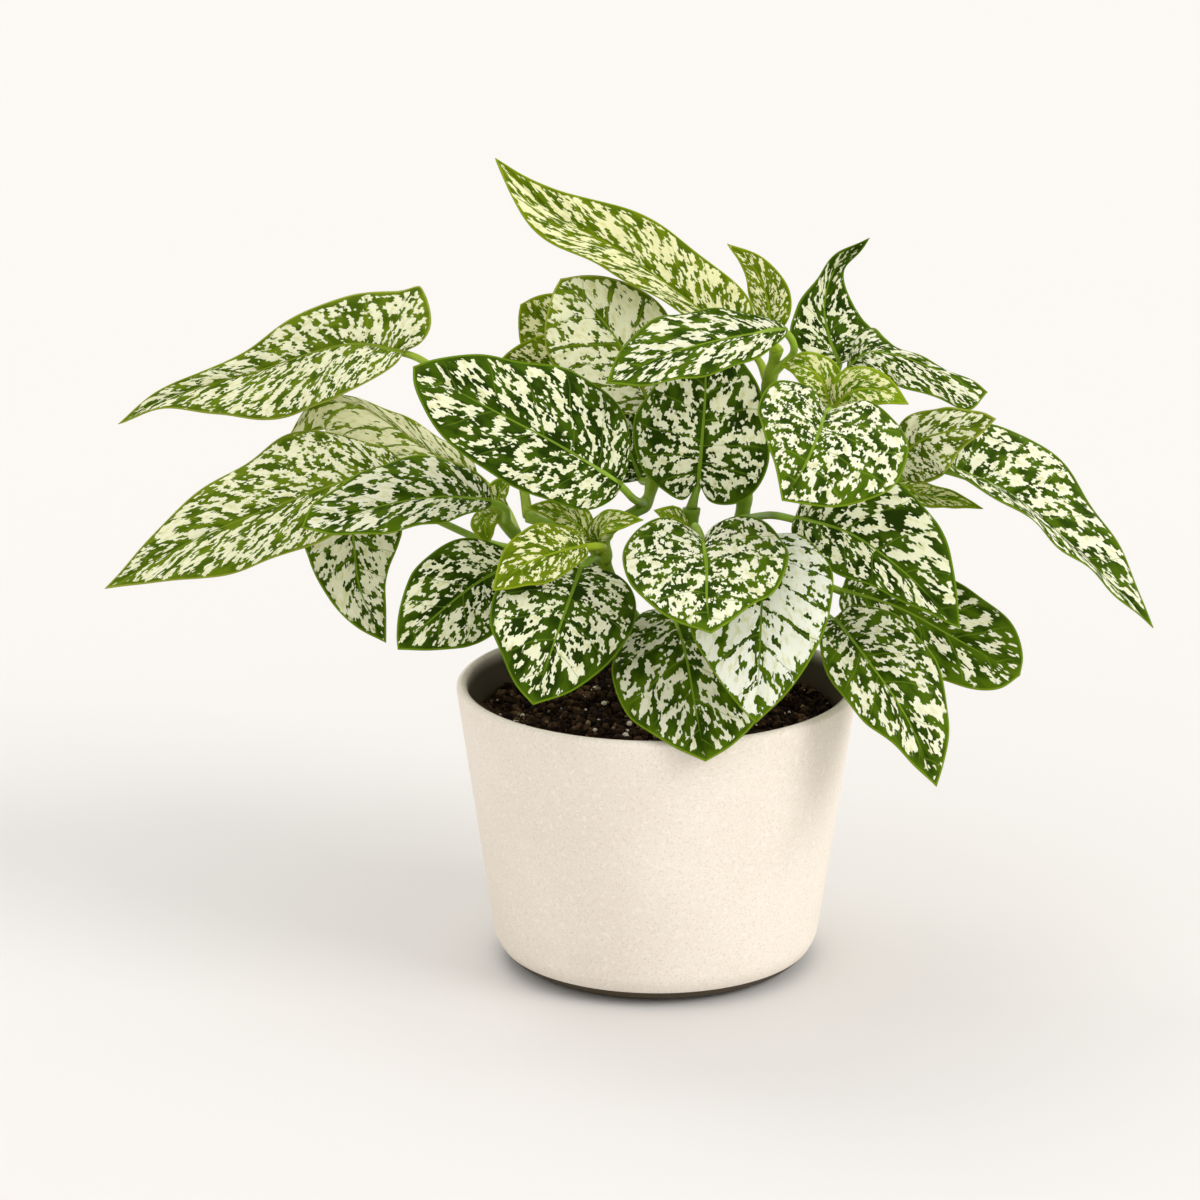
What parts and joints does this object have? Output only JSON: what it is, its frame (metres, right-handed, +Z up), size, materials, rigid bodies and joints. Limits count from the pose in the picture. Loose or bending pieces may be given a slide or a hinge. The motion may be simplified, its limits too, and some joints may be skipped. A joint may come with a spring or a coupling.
{
  "type": "potted polka dot plant",
  "caption": "Leafy polka dot plant with white-splashed green leaves on thin stalks, growing from soil in a plain cream tapered pot.",
  "frame": {"origin": "centre of the underside of the pot, on the surface that it stands on", "axes": "+Z up, -Y towards the front of the plant as it is shown, +X to the right across its widest spread"},
  "size_m": [0.315, 0.181, 0.237],
  "materials": {
    "pot": "matt, finely speckled cream",
    "soil": "crumbly dark potting mix with pale grains",
    "stem": "soft green, slightly glossy",
    "leaf": "satin green splashed with creamy white",
    "young_leaf": "satin lime green splashed with cream"
  },
  "bodies": {
    "root": {"pot": "pot", "soil": "soil", "stem_left": "stem", "stem_far_left": "stem", "stem_centre": "stem", "stem_upper": "stem", "stem_right": "stem", "leaf_left_upper_long": "leaf", "leaf_left_lower_long": "leaf", "leaf_left_front": "leaf", "leaf_left_cream": "leaf", "leaf_centre_left_large": "leaf", "leaf_left_low_dark": "leaf", "leaf_left_hanging": "leaf", "leaf_lime_small": "young_leaf", "leaf_front_left_round": "leaf", "leaf_front_low": "leaf", "leaf_front_white": "leaf", "leaf_front_heart": "leaf", "leaf_centre_back_round": "leaf", "leaf_back_white": "leaf", "leaf_top_white": "leaf", "leaf_top_long": "young_leaf", "leaf_top_pointed": "young_leaf", "leaf_right_top_curled": "leaf", "leaf_right_top_folded": "leaf", "leaf_right_heart": "leaf", "leaf_right_dark": "leaf", "leaf_right_long": "leaf", "leaf_right_light": "leaf", "leaf_right_low_front": "leaf", "leaf_right_low_back": "leaf", "leaf_centre_shaded": "leaf", "leaf_back_lime_upper": "young_leaf", "leaf_back_lime_lower": "young_leaf", "leaf_rear_low": "leaf", "leaf_rear_upper": "leaf", "leaf_rear_right": "leaf", "leaf_rear_left_low": "leaf", "leaf_rear_left": "leaf", "leaf_rear_middle": "leaf"}
  },
  "joints": []
}
